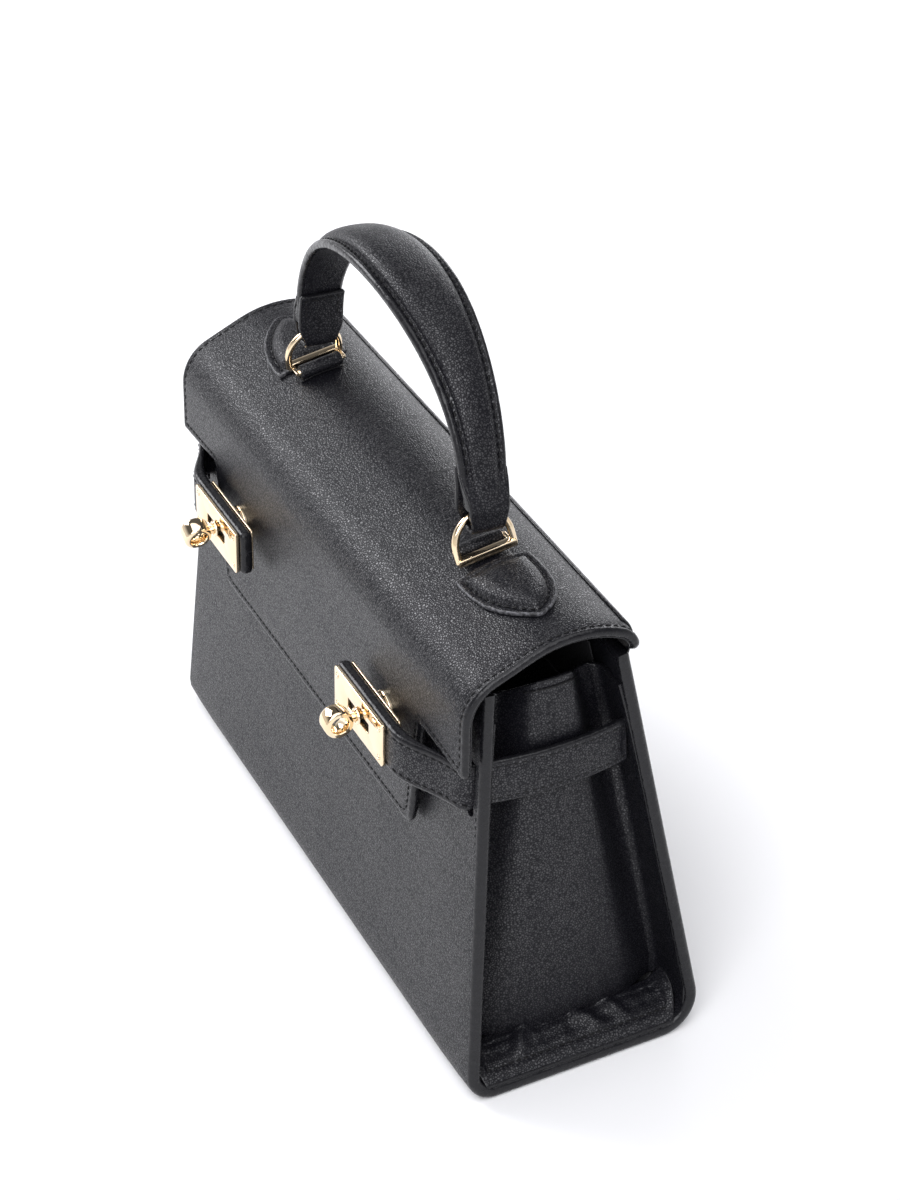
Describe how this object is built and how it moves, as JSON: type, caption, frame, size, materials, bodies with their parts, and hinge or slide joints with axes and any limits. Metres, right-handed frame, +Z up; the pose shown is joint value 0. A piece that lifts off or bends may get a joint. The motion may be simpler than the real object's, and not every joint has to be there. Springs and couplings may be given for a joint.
{
  "type": "top handle bag",
  "caption": "Boxy top handle bag with a domed flap on a rear hinge, side straps that end in turn-lock plates, and a padded handle on two rings.",
  "frame": {"origin": "middle of the base's resting face", "axes": "+X to the right across the bag seen from its front, -Y out of the front panel, +Z up through the handle"},
  "size_m": [0.26, 0.1013, 0.2459],
  "materials": {
    "leather": "black pebbled leather with painted dark grey edges",
    "flap_lining": "smooth black leather",
    "lining": "fine black woven textile",
    "board": "pressed stiffening board",
    "filler": "soft handle filler",
    "hardware": "polished light gold plating",
    "magnet": "gold plated magnetic snap"
  },
  "bodies": {
    "bag": {"front_panel": "leather", "back_panel": "leather", "base_panel": "leather", "front_board": "board", "back_board": "board", "base_board": "board", "front_lining": "lining", "back_lining": "lining", "base_lining": "lining", "slip_pocket": "lining", "gusset_left": "leather", "gusset_right": "leather", "gusset_lining_left": "lining", "gusset_lining_right": "lining", "side_strap_left": "leather", "side_strap_right": "leather"},
    "flap": {"flap_leather": "leather", "flap_lining": "flap_lining", "ring_patch_left": "leather", "ring_patch_right": "leather", "ring_roll_left": "leather", "ring_roll_right": "leather", "snap_disc_left": "hardware", "snap_disc_right": "hardware"},
    "handle": {"handle_cover": "leather", "handle_core": "filler", "handle_strap": "leather", "handle_loop_left": "leather", "handle_loop_right": "leather"},
    "ring_left": {"ring_left": "hardware"},
    "ring_right": {"ring_right": "hardware"},
    "strap_left": {"strap_tip_left": "leather", "back_plate_left": "hardware", "lock_plate_left": "hardware", "plate_screws_left": "hardware", "snap_magnet_left": "magnet"},
    "strap_right": {"strap_tip_right": "leather", "back_plate_right": "hardware", "lock_plate_right": "hardware", "plate_screws_right": "hardware", "snap_magnet_right": "magnet"},
    "toggle_left": {"toggle_left": "hardware"},
    "toggle_right": {"toggle_right": "hardware"}
  },
  "joints": [
    {"name": "flap_hinge", "type": "hinge", "parent": "bag", "child": "flap", "pos_m": [0, 0.02542, 0.1526], "axis": [-1, 0, 0], "range_deg": [0, 95]},
    {"name": "strap_left_swing", "type": "hinge", "parent": "bag", "child": "strap_left", "pos_m": [-0.11398, -0.0328, 0.11697], "axis": [0, 0.068, 0.9977], "range_deg": [-142.5, 0]},
    {"name": "strap_right_swing", "type": "hinge", "parent": "bag", "child": "strap_right", "pos_m": [0.11398, -0.0328, 0.11697], "axis": [0, 0.068, 0.9977], "range_deg": [0, 142.5]},
    {"name": "toggle_left_turn", "type": "hinge", "parent": "strap_left", "child": "toggle_left", "pos_m": [-0.0634, -0.0362, 0.1172], "axis": [0, 0.9977, -0.068], "range_deg": [-20, 70]},
    {"name": "toggle_right_turn", "type": "hinge", "parent": "strap_right", "child": "toggle_right", "pos_m": [0.0634, -0.0362, 0.1172], "axis": [0, -0.9977, 0.068], "range_deg": [0, 90]},
    {"name": "handle_tilt", "type": "hinge", "parent": "flap", "child": "handle", "pos_m": [0, -0.001, 0.17478], "axis": [1, 0, 0], "range_deg": [-3.5, 12.5]},
    {"name": "ring_left_swing", "type": "hinge", "parent": "flap", "child": "ring_left", "pos_m": [-0.06513, -0.001, 0.1709], "axis": [0, 1, 0], "range_deg": [-3, 3]},
    {"name": "ring_right_swing", "type": "hinge", "parent": "flap", "child": "ring_right", "pos_m": [0.06513, -0.001, 0.1709], "axis": [0, 1, 0], "range_deg": [-3, 3]}
  ],
  "couplings": [
    {"joint": "strap_left_swing", "follows": "flap_hinge", "ratio": -1.5},
    {"joint": "strap_right_swing", "follows": "flap_hinge", "ratio": 1.5}
  ]
}
